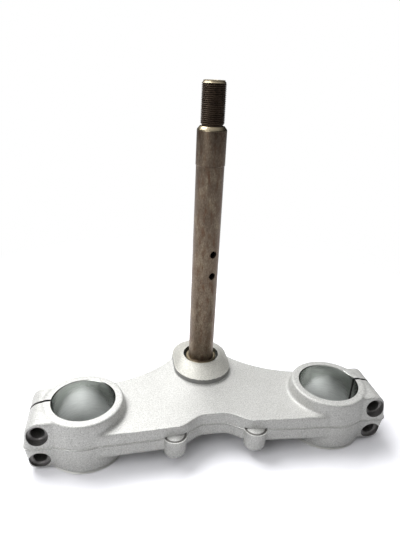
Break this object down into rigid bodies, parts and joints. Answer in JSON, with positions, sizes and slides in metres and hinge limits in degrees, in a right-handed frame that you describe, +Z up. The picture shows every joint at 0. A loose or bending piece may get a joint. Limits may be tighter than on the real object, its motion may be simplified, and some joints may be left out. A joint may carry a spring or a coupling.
{
  "type": "motorcycle triple clamp",
  "caption": "Motorcycle lower triple clamp: cast aluminium yoke with split fork rings, pinch lugs and a boss, and a long threaded steel steering stem pressed in.",
  "frame": {"origin": "where the steering axis meets the plane that the clamp stands on, which is the plane of the fork rings' turned lips and of the stem's foot", "axes": "+Z up the steering axis to the stem's thread; +X to the right fork ring seen from the front; -Y to the front, the side of the fork axes and of the pinch bolts' heads"},
  "size_m": [0.3194, 0.1351, 0.3048],
  "materials": {
    "cast_aluminium": "shot-blasted casting under thin silver paint, bores and counterbores turned bare",
    "turned_steel": "turned steel, dull and lightly stained"
  },
  "bodies": {
    "root": {"lower_yoke": "cast_aluminium", "steering_stem": "turned_steel"}
  },
  "joints": []
}
